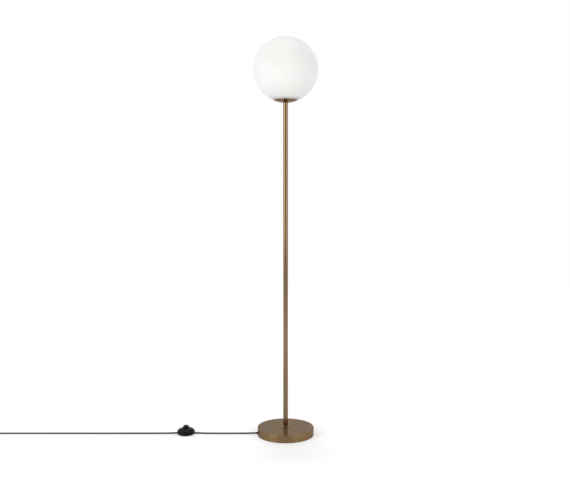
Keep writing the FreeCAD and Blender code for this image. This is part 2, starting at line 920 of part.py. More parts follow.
def make_rotor_screw():
    head_top = rotor_screw_seat + 1.4
    return moved(turned(outline(
        (0, rotor_screw_seat - 6), (grip_screw_radius, rotor_screw_seat - 6),
        (grip_screw_radius, rotor_screw_seat), (spring_radius + 0.7, rotor_screw_seat),
        (spring_radius + 0.7, head_top), (0, head_top),
    )), switch_x)


def make_button_spring():
    """Compression spring between the rotor screw's head and the button."""
    low = rotor_screw_seat + 1.4 + spring_wire_radius
    high = button_ceiling - spring_wire_radius - 0.3
    rise = (high - low) / spring_turns

    def point_at(turn):
        angle = 2 * math.pi * turn
        return V(spring_radius * math.cos(angle), spring_radius * math.sin(angle), low + rise * turn)

    def way_at(turn):
        angle = 2 * math.pi * turn
        way = V(-math.sin(angle), math.cos(angle), rise / (2 * math.pi * spring_radius))
        return way.normalize()

    steps = [i / 2 for i in range(2 * spring_turns + 1)]
    edges = wound_edges(point_at, way_at, steps)
    solid, length, share = tube_along(edges, spring_wire_radius, point_at(0), way_at(0))
    print(f"button_spring: length {length:.1f}, volume share {share:.4f}, "
          f"least gap {least_gap(edges, spring_wire_radius, 0.5):.2f}")
    return moved(solid, switch_x)


def make_switch_electrics():
    """Fixed contacts, terminals and the wires between them and the lead's two ends."""
    contact_top = rotor_bottom - bridge_thickness - contact_gap
    contacts, terminals, wires = [], [], []
    terminal_x = 13.5
    terminal_y = 11.0
    wire_radius = 1.0
    wire_height = switch_cord_height
    for side in (-1, 1):
        contacts.append(block(
            tuple(sorted((side * 5.2, side * 7.4))), (4.0, terminal_y), (switch_floor, contact_top)
        ))
        contacts.append(block(
            tuple(sorted((side * 7.4, side * (terminal_x + 2.0)))), (terminal_y - 3.0, terminal_y),
            (switch_floor, switch_floor + 0.8),
        ))
        terminals.append(block(
            centred(side * terminal_x, 5), (terminal_y - 3.0, terminal_y + 3.0),
            (switch_floor + 0.8, switch_floor + 6.5),
        ))
        wires.append(cord_tube("switch_wire", [
            V(side * cord_end_in_switch, 1.3, wire_height),
            V(side * terminal_x, 1.3, wire_height),
            V(side * terminal_x, terminal_y - 3.0, wire_height),
        ], wire_radius, [1.6]))
    through = [
        V(-cord_end_in_switch, -1.3, wire_height),
        V(-terminal_x, -1.3, wire_height), V(-10.0, -13.0, wire_height),
        V(10.0, -13.0, wire_height), V(terminal_x, -1.3, wire_height),
        V(cord_end_in_switch, -1.3, wire_height),
    ]
    wires.append(cord_tube("through_wire", through, wire_radius, [1.6, 4.0, 4.0, 1.6]))
    contact_solids = [contacts[0].fuse(contacts[1]), contacts[2].fuse(contacts[3])]
    return {
        "switch_contacts": moved(Part.makeCompound(contact_solids), switch_x),
        "switch_terminals": moved(Part.makeCompound(terminals), switch_x),
        "switch_wires": moved(Part.makeCompound(wires), switch_x),
    }


def make_switch_hardware():
    grip_low = switch_cord_height + cord_radius
    grip_top = grip_low + grip_thickness
    bars, bar_screws = [], []
    for side in (-1, 1):
        x = side * grip_distance
        bar = block(centred(x, grip_width), centred(0, grip_length), (grip_low, grip_top))
        for y in (-grip_screw_spacing / 2, grip_screw_spacing / 2):
            bar = bar.cut(disc(grip_screw_radius, grip_low - 1, grip_top + 1, x, y))
            screw = disc(grip_screw_radius, grip_low - 3.5, grip_top, x, y)
            head = disc(grip_screw_radius * 2, grip_top, grip_top + 1.2, x, y)
            bar_screws.append(screw.fuse(head))
        bars.append(bar)
    screw = flat_screw(
        cover_screw_radius, cover_screw_head_radius, cover_screw_head_height, 11.0, switch_pad_thickness
    )
    pads = []
    for angle in (90, 210, 330):
        x, y = on_circle(switch_pad_circle, angle)
        pads.append(disc(switch_pad_radius, 0, switch_pad_thickness, x, y))
    screws = [moved(screw, x, y) for x, y in switch_places()]
    return {
        "cord_grips": moved(Part.makeCompound(bars), switch_x),
        "grip_screws": moved(Part.makeCompound(bar_screws), switch_x),
        "cover_screws": moved(Part.makeCompound(screws), switch_x),
        "switch_pads": moved(Part.makeCompound(pads), switch_x),
    }


# ---------------------------------------------------------------- cord, coil and plug

def make_free_cords():
    """The two straight stretches lie on the floor and lift a little where they enter a housing."""
    base_end = -base_radius - bushing_outside
    in_switch = cord_end_in_switch
    at_wall = switch_radius + cord_out
    on_floor = at_wall + cord_down
    to_switch = [
        V(base_end, 0, cord_exit_height),
        V(base_end - cord_out, 0, cord_exit_height),
        V(base_end - cord_out - cord_down, 0, cord_floor_height),
        V(switch_x + on_floor, 0, cord_floor_height),
        V(switch_x + at_wall, 0, switch_cord_height),
        V(switch_x + in_switch, 0, switch_cord_height),
    ]
    to_coil = [
        V(switch_x - in_switch, 0, switch_cord_height),
        V(switch_x - at_wall, 0, switch_cord_height),
        V(switch_x - on_floor, 0, cord_floor_height),
        V(-coil_distance, 0, cord_floor_height),
    ]
    return {
        "cord_base_to_switch": cord_tube("cord_base_to_switch", to_switch, cord_radius),
        "cord_switch_to_coil": cord_tube("cord_switch_to_coil", to_coil, cord_radius),
    }


coil_step = 90.0


def coil_point(angle):
    """Centre line of the coil at an angle in degrees from its start, which is at its back.

    It spirals in on the floor, climbs a layer in the half turn where it turns back,
    and spirals out again on top.
    """
    layer = 360.0 * coil_layer_turns
    climb_end = layer + 180.0
    if angle <= layer:
        radius = coil_radius - coil_pitch * angle / 360.0
        height = coil_low
    elif angle < climb_end:
        inner = coil_radius - coil_pitch * coil_layer_turns
        into = angle - layer
        radius = inner - coil_pitch * min(into, 180.0 - into) / 360.0
        height = coil_low + (coil_high - coil_low) * (1 - math.cos(math.radians(into))) / 2
    else:
        inner = coil_radius - coil_pitch * coil_layer_turns
        radius = inner + coil_pitch * (angle - climb_end) / 360.0
        height = coil_high
    turn = math.radians(90.0 + angle)
    return coil_centre + V(radius * math.cos(turn), radius * math.sin(turn), height)


def coil_way(angle):
    step = 0.5
    return (coil_point(angle + step) - coil_point(angle - step)).normalize()


def make_coil():
    total = 360.0 * 2 * coil_layer_turns + 180.0
    straight = V(-1, 0, 0)
    entry = V(-coil_distance, 0, cord_floor_height)
    first = entry + straight * (2 * cord_radius)
    plug_end = V(plug_cord_end_x, coil_centre.y + coil_radius, plug_axis_height)
    before_plug = plug_end - straight * (2 * cord_radius)
    steps = [90.0 + coil_step * i for i in range(int((total - 90.0) / coil_step) + 1)]
    edges = [line(entry, first)]
    edges += biarc(first, straight, coil_point(steps[0]), coil_way(steps[0]))
    edges += wound_edges(coil_point, coil_way, steps)
    last = steps[-1]
    edges += biarc(coil_point(last), coil_way(last), before_plug, straight)
    edges.append(line(before_plug, plug_end))
    solid, length, share = tube_along(edges, cord_radius, entry, straight)
    print(f"cord_coil: length {length:.1f}, volume share {share:.4f}, "
          f"least gap {least_gap(edges, cord_radius):.2f}")
    return solid


def make_coil_tie():
    """Flat band round both layers of the coil at one place."""
    inner = coil_radius - coil_pitch * (coil_layer_turns + 0.25) - cord_radius - tie_gap
    outer = coil_radius + cord_radius + tie_gap
    low = coil_low - cord_radius - tie_gap
    high = coil_high + cord_radius + tie_gap
    t = tie_thickness
    corner = cord_radius
    outside = outline(
        (inner - t, low - t, corner + t), (outer + t, low - t, corner + t),
        (outer + t, high + t, corner + t), (inner - t, high + t, corner + t),
    )
    inside = outline(
        (inner, low, corner), (outer, low, corner), (outer, high, corner), (inner, high, corner),
    )
    band = outside.cut(inside).extrude(V(0, tie_width, 0))
    band.translate(V(0, -tie_width / 2, 0))
    band.rotate(V(0, 0, 0), UP, tie_angle)
    band.translate(V(coil_centre.x, coil_centre.y, 0))
    return band


def make_plug():
    """Flat two-pin plug that lies on the floor, its pins pointing away from the coil."""
    axis_y = coil_centre.y + coil_radius
    rear = plug_cord_end_x - plug_tail_length
    front = rear - plug_length
    half = plug_width / 2
    tail = 6.5
    left = [
        V(rear, tail, 0), V(rear - 9.0, tail + 2.5, 0), V(rear - 20.0, half, 0), V(front + 5.0, half, 0),
        V(front, half - 3.5, 0),
    ]
    right = [V(p.x, -p.y, 0) for p in left[::-1]]
    loop = left + right
    plan = Part.Face(Part.makePolygon(loop + loop[:1]))
    body = plan.extrude(V(0, 0, plug_thickness))
    upright = [e for e in body.Edges if abs(e.tangentAt(e.FirstParameter).z) > 0.9]
    body = body.makeFillet(2.5, upright)
    flat = [e for e in body.Edges if abs(e.BoundBox.ZLength) < 1e-6]
    body = body.makeChamfer(plug_edge_chamfer, flat)
    sleeve_profile = [(0, -2.0), (plug_tail_radius, -2.0), (plug_tail_radius, 2.0)]
    groove = plug_tail_length / (plug_tail_grooves + 1.5)
    slope = (plug_tail_radius - plug_tail_tip_radius) / plug_tail_length
    for i in range(plug_tail_grooves):
        start = 2.0 + i * groove
        for along, depth in ((0.35, 0), (0.45, 0.9), (0.9, 0.9), (1.0, 0)):
            z = start + along * groove
            sleeve_profile.append((plug_tail_radius - slope * z - depth, z))
    sleeve_profile += [(plug_tail_tip_radius, plug_tail_length), (0, plug_tail_length)]
    sleeve = turned(outline(*sleeve_profile))
    sleeve.rotate(V(0, 0, 0), V(0, 1, 0), 90)
    body = body.fuse(moved(sleeve, rear, 0, plug_axis_height))
    pins, sleeves = [], []
    bare_length = pin_length - pin_sleeve_length
    for side in (-1, 1):
        y = side * pin_spacing / 2
        root = V(front + pin_root, y, plug_axis_height)
        face = V(front, y, plug_axis_height)
        body = body.cut(Part.makeCylinder(pin_core_radius, pin_root, root, V(-1, 0, 0)))
        core = Part.makeCylinder(pin_core_radius, pin_root + pin_sleeve_length, root, V(-1, 0, 0))
        tip = turned(outline(
            (0, 0), (pin_radius, 0), (pin_radius, bare_length - pin_tip_chamfer),
            (pin_radius - pin_tip_chamfer, bare_length), (0, bare_length),
        ))
        tip.rotate(V(0, 0, 0), V(0, 1, 0), -90)
        tip = moved(tip, front - pin_sleeve_length, y, plug_axis_height)
        pins.append(core.fuse(tip))
        outside = Part.makeCylinder(pin_radius, pin_sleeve_length, face, V(-1, 0, 0))
        inside = Part.makeCylinder(pin_core_radius, pin_sleeve_length, face, V(-1, 0, 0))
        sleeves.append(outside.cut(inside))
    return {
        "plug_body": moved(body, 0, axis_y),
        "plug_pins": moved(Part.makeCompound(pins), 0, axis_y),
        "pin_sleeves": moved(Part.makeCompound(sleeves), 0, axis_y),
    }


# ---------------------------------------------------------------- the whole lamp

def make_lamp():
    nodes = {
        "base_cover": make_base_cover(),
        "base_weight": make_base_weight(),
        "floor_pads": make_floor_pads(),
        "cord_bushing": make_cord_bushing(),
        "cord_clamp": make_cord_clamp(),
        "clamp_screws": make_clamp_screws(),
        "foot_collar": make_foot_collar(),
        "inner_lead": make_inner_lead(),
        "neck_nipple": ring(
            thread_radius, thread_bore_radius, pole_top - thread_engagement, neck_thread_top
        ),
        "holder_dish": make_holder_dish(),
        "globe_gasket": make_globe_gasket(),
        "globe_clips": make_globe_clips(),
        "dish_nut": hexagon_nut(
            nut_across_flats, thread_radius + thread_clearance, clip_plate_top, holder_bottom
        ),
        "globe": make_globe(),
        "switch_base": make_switch_base(),
        "switch_cover": make_switch_cover(),
        "switch_button": make_switch_button(),
        "rotor_screw": make_rotor_screw(),
        "button_spring": make_button_spring(),
        "cord_coil": make_coil(),
        "coil_tie": make_coil_tie(),
    }
    nodes.update(make_foot_fastening())
    nodes.update(make_pole())
    nodes.update(make_lampholder())
    nodes.update(make_bulb())
    nodes.update(make_switch_rotor())
    nodes.update(make_switch_electrics())
    nodes.update(make_switch_hardware())
    nodes.update(make_free_cords())
    nodes.update(make_plug())
    return nodes


os.makedirs("parts", exist_ok=True)
for node, shape in make_lamp().items():
    shape.exportStep(f"parts/{node}.step")
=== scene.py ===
import json
import math

import bmesh
import bpy
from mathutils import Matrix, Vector


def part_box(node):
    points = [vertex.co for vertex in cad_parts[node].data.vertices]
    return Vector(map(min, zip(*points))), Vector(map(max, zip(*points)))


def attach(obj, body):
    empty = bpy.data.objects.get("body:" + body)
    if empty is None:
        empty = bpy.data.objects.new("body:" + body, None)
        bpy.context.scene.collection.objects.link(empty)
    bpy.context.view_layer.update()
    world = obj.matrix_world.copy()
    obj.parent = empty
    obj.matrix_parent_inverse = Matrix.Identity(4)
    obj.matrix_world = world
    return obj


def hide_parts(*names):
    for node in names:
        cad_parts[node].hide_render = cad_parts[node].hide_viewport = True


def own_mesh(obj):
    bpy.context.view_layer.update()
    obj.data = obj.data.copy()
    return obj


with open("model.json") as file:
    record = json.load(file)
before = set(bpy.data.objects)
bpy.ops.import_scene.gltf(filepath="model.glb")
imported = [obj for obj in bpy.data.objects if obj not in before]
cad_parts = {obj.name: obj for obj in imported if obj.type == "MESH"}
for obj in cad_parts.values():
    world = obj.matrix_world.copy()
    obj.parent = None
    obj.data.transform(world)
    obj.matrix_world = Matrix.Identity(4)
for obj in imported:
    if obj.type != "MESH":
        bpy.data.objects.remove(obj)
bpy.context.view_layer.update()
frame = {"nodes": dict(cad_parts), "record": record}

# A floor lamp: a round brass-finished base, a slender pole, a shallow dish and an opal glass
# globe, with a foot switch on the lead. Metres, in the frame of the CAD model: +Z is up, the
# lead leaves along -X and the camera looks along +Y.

# ---------------------------------------------------------------- the photograph's view

IMAGE_WIDTH = 570
IMAGE_HEIGHT = 480
FOCAL_PIXELS = 718.0
LAMP_AXIS_PIXEL = 285.6
HORIZON_PIXEL = 202.4
CAMERA_DISTANCE = 2.752
CAMERA_HEIGHT = 0.888
SENSOR_MM = 36.0

# ---------------------------------------------------------------- sizes

MM = 0.001

BASE_LOW, BASE_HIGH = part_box("base_cover")
COLLAR_LOW, COLLAR_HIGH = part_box("foot_collar")
DISH_LOW, DISH_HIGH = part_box("holder_dish")
GLOBE_LOW, GLOBE_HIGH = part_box("globe")
BUTTON_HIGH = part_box("switch_button")[1]
PLUG_LOW, PLUG_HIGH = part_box("plug_body")
TIE_LOW, TIE_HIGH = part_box("coil_tie")
SPRING_LOW, SPRING_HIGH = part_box("button_spring")

BASE_RADIUS = BASE_HIGH.x
COVER_WALL = 1.2 * MM
COVER_EDGE = 1.5 * MM
COVER_INNER_EDGE = 0.8 * MM
THREAD_HOLE = 5.05 * MM
COLLAR_BORE = 9.35 * MM
NOTCH_RADIUS = 4.1 * MM
POLE_WALL = 1.0 * MM
POLE_EDGE = 0.2 * MM
DISH_RADIUS = DISH_HIGH.x
DISH_HUB = 11.0 * MM
DISH_WALL = 1.0 * MM
DISH_LIP = 1.0 * MM
GLOBE_RADIUS = 125.0 * MM
GLASS_WALL = 3.0 * MM
# height of the band of painted shade round the globe's opening
GLASS_PAINTED_SHADE_HEIGHT = 13.0 * MM
GLOBE_OPENING = 34.0 * MM

# the lead's route, as in the CAD source
CORD_RADIUS = 3.0 * MM
CORD_FLOOR = 3.05 * MM
CORD_EXIT_X = -112.5 * MM
CORD_EXIT_HEIGHT = 4.4 * MM
SWITCH_X = -381.6 * MM
SWITCH_CORD_HEIGHT = 4.7 * MM
CORD_IN_SWITCH = 16.0 * MM
CORD_AT_WALL = 45.6 * MM
CORD_ON_FLOOR = 75.6 * MM
CORD_OUT = 12.0 * MM
CORD_DOWN = 30.0 * MM

# the coil of spare lead, as in the CAD source
COIL_X = -1138.0 * MM
COIL_RADIUS = 38.0 * MM
COIL_PITCH = 6.6 * MM
COIL_LAYER_TURNS = 2.25
COIL_LOW_HEIGHT = 4.05 * MM
COIL_STEP = 15.0
COIL_TAIL = ((12.0 * MM, 10.2 * MM), (26.0 * MM, 7.6 * MM))  # distance past the coil, height
TIE_ANGLE = 225.0
TIE_GAP = 0.25 * MM
TIE_THICKNESS = 0.8 * MM
PLUG_CORD_END_X = -1184.0 * MM
PLUG_CORD_STRAIGHT = 6.0 * MM
PLUG_AXIS_HEIGHT = 6.85 * MM

# ---------------------------------------------------------------- mesh helpers


def rounded(*corners, steps=5):
    """(radius, height) points of an outline. A third number rounds that corner."""
    points = []
    count = len(corners)
    for i, corner in enumerate(corners):
        here = Vector(corner[:2])
        if len(corner) < 3:
            points.append(here)
            continue
        before = (Vector(corners[i - 1][:2]) - here).normalized()
        after = (Vector(corners[(i + 1) % count][:2]) - here).normalized()
        half = before.angle(after) / 2
        reach = corner[2] / math.tan(half)
        centre = here + (before + after).normalized() * (corner[2] / math.sin(half))
        start = here + before * reach - centre
        end = here + after * reach - centre
        sweep = start.angle_signed(end)
        for step in range(steps + 1):
            turn = -sweep * step / steps
            points.append(centre + Vector((
                start.x * math.cos(turn) - start.y * math.sin(turn),
                start.x * math.sin(turn) + start.y * math.cos(turn),
            )))
    return points


def ball_arc(radius, centre_height, low_angle, high_angle, steps):
    """Points of a ball's outline. Angles are in degrees above its middle."""
    points = []
    for step in range(steps + 1):
        angle = math.radians(low_angle + (high_angle - low_angle) * step / steps)
        points.append(Vector((radius * math.cos(angle), centre_height + radius * math.sin(angle))))
    return points


def finished(name, shape):
    """Makes a smooth-shaded object of a bmesh. Large faces rule the normals at their edges."""
    bmesh.ops.recalc_face_normals(shape, faces=shape.faces)
    mesh = bpy.data.meshes.new(name)
    shape.to_mesh(mesh)
    shape.free()
    for face in mesh.polygons:
        face.use_smooth = True
    mesh.set_sharp_from_angle(angle=math.radians(35))
    piece = bpy.data.objects.new(name, mesh)
    bpy.context.scene.collection.objects.link(piece)
    weighted = piece.modifiers.new("weighted_normals", "WEIGHTED_NORMAL")
    weighted.keep_sharp = True
    return piece


def lathe(name, outline, x=0.0, segments=128, angles=None, shift=None):
    """Turns an outline of (radius, height) points about a vertical line.

    angles are the turns in degrees, evenly spaced unless given. shift(radius, height, angle)
    may give a point another radius and height.
    """
    if angles is None:
        angles = [360.0 * i / segments for i in range(segments)]
    segments = len(angles)
    shape = bmesh.new()
    rings = []
    for radius, height in outline:
        if radius < 1e-6:
            rings.append([shape.verts.new((x, 0, height))])
            continue
        ring = []
        for angle in angles:
            reach, level = shift(radius, height, angle) if shift else (radius, height)
            turn = math.radians(angle)
            place = (x + reach * math.cos(turn), reach * math.sin(turn), level)
            ring.append(shape.verts.new(place))
        rings.append(ring)
    pairs = list(zip(rings, rings[1:]))
    if len(rings[0]) > 1 and len(rings[-1]) > 1:
        pairs.append((rings[-1], rings[0]))
    for one, other in pairs:
        for i in range(segments):
            j = (i + 1) % segments
            near = one[i % len(one)], one[j % len(one)]
            far = other[j % len(other)], other[i % len(other)]
            unique = list(dict.fromkeys(near + far))
            if len(unique) > 2:
                shape.faces.new(unique)
    return finished(name, shape)


def skin(shape, rings):
    """Faces between rings of as many points each, and over the first and the last ring."""
    count = len(rings[0])
    for one, other in zip(rings, rings[1:]):
        for i in range(count):
            j = (i + 1) % count
            shape.faces.new((one[i], one[j], other[j], other[i]))
    shape.faces.new(rings[0][::-1])
    shape.faces.new(rings[-1])


def dress(piece, material, slot, body, *nodes):
    """Gives a new piece its material and body, and hides the CAD nodes it stands for. The slot
    argument is not used.
    """
    piece.data.materials.append(material)
    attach(piece, body)
    if nodes:
        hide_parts(*nodes)
    return piece


# ---------------------------------------------------------------- material helpers


class Surface:
    """A material with a principled shader, and short ways to add textures to it."""

    def __init__(self, name, **settings):
        self.material = bpy.data.materials.new(name)
        self.material.use_nodes = True
        self.tree = self.material.node_tree
        self.shader = self.tree.nodes["Principled BSDF"]
        for setting, value in settings.items():
            self.shader.inputs[setting.replace("_", " ")].default_value = value
        self.heights = []
        self.place = self.node("ShaderNodeTexCoord").outputs["Object"]

    def node(self, kind, **settings):
        made = self.tree.nodes.new(kind)
        for setting, value in settings.items():
            setattr(made, setting, value)
        return made

    def link(self, source, target):
        self.tree.links.new(source, target)

    def stretched(self, x, y, z):
        """Object coordinates, scaled along each axis."""
        mapping = self.node("ShaderNodeMapping")
        mapping.inputs["Scale"].default_value = (x, y, z)
        self.link(self.place, mapping.inputs["Vector"])
        return mapping.outputs["Vector"]

    def ringed(self, along, across):
        """Coordinates that change fast across rings about the Z axis and slowly along them."""
        parts = self.node("ShaderNodeSeparateXYZ")
        self.link(self.place, parts.inputs["Vector"])
        x, y, z = (parts.outputs[axis] for axis in "XYZ")
        squares = self.math("ADD", self.math("MULTIPLY", x, x), self.math("MULTIPLY", y, y))
        reach = self.math("ADD", self.math("SQRT", squares), z)
        join = self.node("ShaderNodeCombineXYZ")
        for value, scale, axis in ((x, along, "X"), (y, along, "Y"), (reach, across, "Z")):
            self.link(self.math("MULTIPLY", value, scale), join.inputs[axis])
        return join.outputs["Vector"]

    def math(self, operation, *values):
        made = self.node("ShaderNodeMath", operation=operation)
        for socket, value in zip(made.inputs, values):
            if isinstance(value, (int, float)):
                socket.default_value = value
            else:
                self.link(value, socket)
        return made.outputs["Value"]

    def noise(self, vector, scale=1.0, detail=3.0, roughness=0.5):
        made = self.node("ShaderNodeTexNoise")
        made.inputs["Scale"].default_value = scale
        made.inputs["Detail"].default_value = detail
        made.inputs["Roughness"].default_value = roughness
        self.link(vector, made.inputs["Vector"])
        return made.outputs["Fac"]

    def spread(self, value, low, high, start=0.3, end=0.7):
        """A value from a texture, mapped from start..end to low..high."""
        made = self.node("ShaderNodeMapRange")
        made.inputs["From Min"].default_value = start
        made.inputs["From Max"].default_value = end
        made.inputs["To Min"].default_value = low
        made.inputs["To Max"].default_value = high
        self.link(value, made.inputs["Value"])
        return made.outputs["Result"]

    def blend(self, share, one, other):
        """A colour between two, by a value from 0 to 1."""
        made = self.node("ShaderNodeMix", data_type="RGBA")
        self.link(share, made.inputs["Factor"])
        for socket, value in ((made.inputs["A"], one), (made.inputs["B"], other)):
            if isinstance(value, tuple):
                socket.default_value = (*value, 1.0)
            else:
                self.link(value, socket)
        return made.outputs["Result"]

    def colour(self, output):
        self.link(output, self.shader.inputs["Base Color"])

    def roughness(self, output):
        self.link(output, self.shader.inputs["Roughness"])

    def turned_on_lathe(self):
        """Turns the anisotropy, so that gloss spreads across the rings of a turned piece."""
        tangent = self.node("ShaderNodeTangent", direction_type="RADIAL", axis="Z")
        self.link(tangent.outputs["Tangent"], self.shader.inputs["Tangent"])
        self.shader.inputs["Anisotropic Rotation"].default_value = 0.25

    def bump(self, height, distance, strength=1.0):
        """Adds a relief. Reliefs are chained, so a material may have several."""
        made = self.node("ShaderNodeBump")
        made.inputs["Distance"].default_value = distance
        made.inputs["Strength"].default_value = strength
        self.link(height, made.inputs["Height"])
        if self.heights:
            self.link(self.heights[-1].outputs["Normal"], made.inputs["Normal"])
        self.heights.append(made)
        self.link(made.outputs["Normal"], self.shader.inputs["Normal"])


# ---------------------------------------------------------------- materials


def satin_brass(name, dark, light, rough):
    """Aged brass, turned and brushed: fine rings about the vertical axis under a clear lacquer."""
    surface = Surface(
        name, Metallic=1.0, Specular_Tint=(0.52, 0.52, 0.52, 1.0), Anisotropic=0.85,
        Coat_Weight=0.2, Coat_Roughness=0.25,
    )
    surface.turned_on_lathe()
    rings = surface.ringed(6.0, 900.0)
    brush = surface.noise(rings, detail=3.0, roughness=0.6)
    cloud = surface.noise(surface.place, scale=9.0, detail=3.0)
    tone = surface.blend(surface.spread(cloud, 0.0, 1.0), dark, light)
    streak = tuple(0.86 * part for part in dark)
    surface.colour(surface.blend(surface.spread(brush, 0.35, 0.0), tone, streak))
    surface.roughness(surface.math(
        "ADD", surface.spread(brush, rough - 0.04, rough + 0.04), surface.spread(cloud, -0.02, 0.02)
    ))
    surface.bump(brush, 0.00001, 0.15)
    return surface.material


def drawn_brass(name, dark, light, rough):
    """Aged brass tube: polished round, with faint streaks along its length."""
    surface = Surface(
        name, Metallic=1.0, Specular_Tint=(0.62, 0.62, 0.62, 1.0), Anisotropic=0.3,
        Coat_Weight=0.8, Coat_Roughness=0.12,
    )
    surface.turned_on_lathe()
    streaks = surface.noise(surface.stretched(420.0, 420.0, 5.0), detail=3.0)
    cloud = surface.noise(surface.place, scale=7.0, detail=3.0)
    surface.colour(surface.blend(surface.spread(cloud, 0.0, 1.0), dark, light))
    surface.roughness(surface.spread(streaks, rough - 0.02, rough + 0.02))
    surface.bump(cloud, 0.00002, 0.1)
    return surface.material


def opal_glass():
    """Satin opal glass: white, softly glossy, with painted shade that darkens it near its opening,
    where the dish shades the glass.
    """
    surface = Surface(
        "opal_glass", IOR=1.5, Specular_IOR_Level=0.35, Subsurface_Weight=0.2, Subsurface_Scale=0.02
    )
    surface.shader.inputs["Subsurface Radius"].default_value = (1.0, 0.9, 0.8)
    height = surface.node("ShaderNodeSeparateXYZ")
    surface.link(surface.place, height.inputs["Vector"])
    # painted shade: the colour darkens towards the opening and stands in for the dish's shade on
    # the glass
    painted_shade_near_opening = surface.spread(
        height.outputs["Z"], 1.0, 0.0, GLOBE_LOW.z, GLOBE_LOW.z + GLASS_PAINTED_SHADE_HEIGHT
    )
    cloud = surface.noise(surface.place, scale=6.0, detail=2.0)
    body = surface.blend(
        surface.spread(cloud, 0.0, 1.0), (0.905, 0.888, 0.858), (0.925, 0.912, 0.887)
    )
    surface.colour(surface.blend(painted_shade_near_opening, body, (0.50, 0.45, 0.38)))
    surface.roughness(surface.spread(cloud, 0.52, 0.60))
    ripple = surface.noise(surface.place, scale=11.0, detail=1.0)
    surface.bump(ripple, 0.0003, 0.1)
    return surface.material


def moulded(name, tone, rough, grain=900.0, relief=0.00004, gloss=0.35):
    """Moulded plastic or rubber with a fine spark-eroded grain."""
    dark = tuple(0.8 * part for part in tone)
    light = tuple(min(1.0, 1.25 * part) for part in tone)
    surface = Surface(name, Specular_IOR_Level=gloss)
    fine = surface.noise(surface.place, scale=grain, detail=2.0)
    cloud = surface.noise(surface.place, scale=25.0, detail=3.0)
    surface.colour(surface.blend(surface.spread(cloud, 0.0, 1.0), dark, light))
    surface.roughness(surface.spread(fine, rough - 0.06, rough + 0.08))
    surface.bump(fine, relief, 0.5)
    return surface.material


def metal(name, tone, rough, grain=300.0, relief=0.00002):
    """Plated or cast metal with a light mottle."""
    dark = tuple(0.85 * part for part in tone)
    light = tuple(min(1.0, 1.1 * part) for part in tone)
    surface = Surface(name, Metallic=1.0)
    fine = surface.noise(surface.place, scale=grain, detail=4.0)
    surface.colour(surface.blend(surface.spread(fine, 0.0, 1.0), dark, light))
    surface.roughness(surface.spread(fine, rough - 0.06, rough + 0.1))
    surface.bump(fine, relief, 0.4)
    return surface.material


def cord_sheath():
    """Matt dark sheath with the faint rings that extruding and coiling leave."""
    surface = Surface("cord_sheath", Specular_IOR_Level=0.3)
    fine = surface.noise(surface.place, scale=700.0, detail=2.0)
    cloud = surface.noise(surface.place, scale=30.0, detail=3.0)
    surface.colour(surface.blend(
        surface.spread(cloud, 0.0, 1.0), (0.040, 0.038, 0.035), (0.056, 0.054, 0.050)
    ))
    surface.roughness(surface.spread(fine, 0.42, 0.55))
    surface.bump(fine, 0.00003, 0.3)
    return surface.material


def woven_strap():
    """Black hook-and-loop strap."""
    surface = Surface("tie_strap", Sheen_Weight=0.3)
    waves = surface.node("ShaderNodeTexWave", bands_direction="DIAGONAL")
    waves.inputs["Scale"].default_value = 420.0
    waves.inputs["Distortion"].default_value = 1.5
    surface.link(surface.place, waves.inputs["Vector"])
    weave = waves.outputs["Fac"]
    surface.colour(surface.blend(weave, (0.010, 0.010, 0.011), (0.030, 0.030, 0.032)))
    surface.roughness(surface.spread(weave, 0.75, 0.9))
    surface.bump(weave, 0.0002, 0.6)
    return surface.material


MATERIALS = {
    "base_brass": satin_brass("base_brass", (0.205, 0.128, 0.058), (0.235, 0.150, 0.072), 0.32),
    "pole_brass": drawn_brass("pole_brass", (0.158, 0.092, 0.036), (0.180, 0.108, 0.045), 0.16),
    "dish_brass": satin_brass("dish_brass", (0.175, 0.105, 0.047), (0.205, 0.128, 0.062), 0.16),
    "opal_glass": opal_glass(),
    "switch_plastic": moulded("switch_plastic", (0.004, 0.004, 0.004), 0.38, gloss=0.09),
    "plug_plastic": moulded("plug_plastic", (0.008, 0.008, 0.008), 0.48, gloss=0.16),
    "cord_sheath": cord_sheath(),
    "floor_pad": moulded("floor_pad", (0.035, 0.035, 0.035), 0.8, 400.0, 0.0001),
    "clear_silicone": moulded("clear_silicone", (0.62, 0.62, 0.60), 0.35),
    "holder_plastic": moulded("holder_plastic", (0.022, 0.020, 0.019), 0.28),
    "holder_core": moulded("holder_core", (0.74, 0.71, 0.66), 0.6),
    "bulb_plastic": moulded("bulb_plastic", (0.80, 0.80, 0.78), 0.38),
    "bulb_diffuser": moulded("bulb_diffuser", (0.86, 0.86, 0.84), 0.55),
    "rotor_plastic": moulded("rotor_plastic", (0.66, 0.64, 0.58), 0.45),
    "wire_sheath": moulded("wire_sheath", (0.12, 0.055, 0.03), 0.4),
    "cast_iron": metal("cast_iron", (0.10, 0.10, 0.10), 0.62, 160.0, 0.0003),
    "plated_steel": metal("plated_steel", (0.56, 0.56, 0.54), 0.30),
    "contact_brass": metal("contact_brass", (0.62, 0.46, 0.20), 0.28),
    "bulb_metal": metal("bulb_metal", (0.66, 0.66, 0.65), 0.22),
    "tie_strap": woven_strap(),
}

# CAD nodes that stay in view whose material isn't the one named after their slot
OWN_MATERIAL = {
    "base_cover": "base_brass",
    "foot_collar": "pole_brass",
    "pole_lower": "pole_brass",
    "pole_middle": "pole_brass",
    "pole_upper": "pole_brass",
    "holder_dish": "dish_brass",
}


def dress_cad_nodes():
    for part in frame["record"]["subparts"]:
        node = part["node"]
        material = MATERIALS[OWN_MATERIAL.get(node, part["material_slot"])]
        mesh = frame["nodes"][node].data
        mesh.materials.clear()
        mesh.materials.append(material)


# ---------------------------------------------------------------- camera


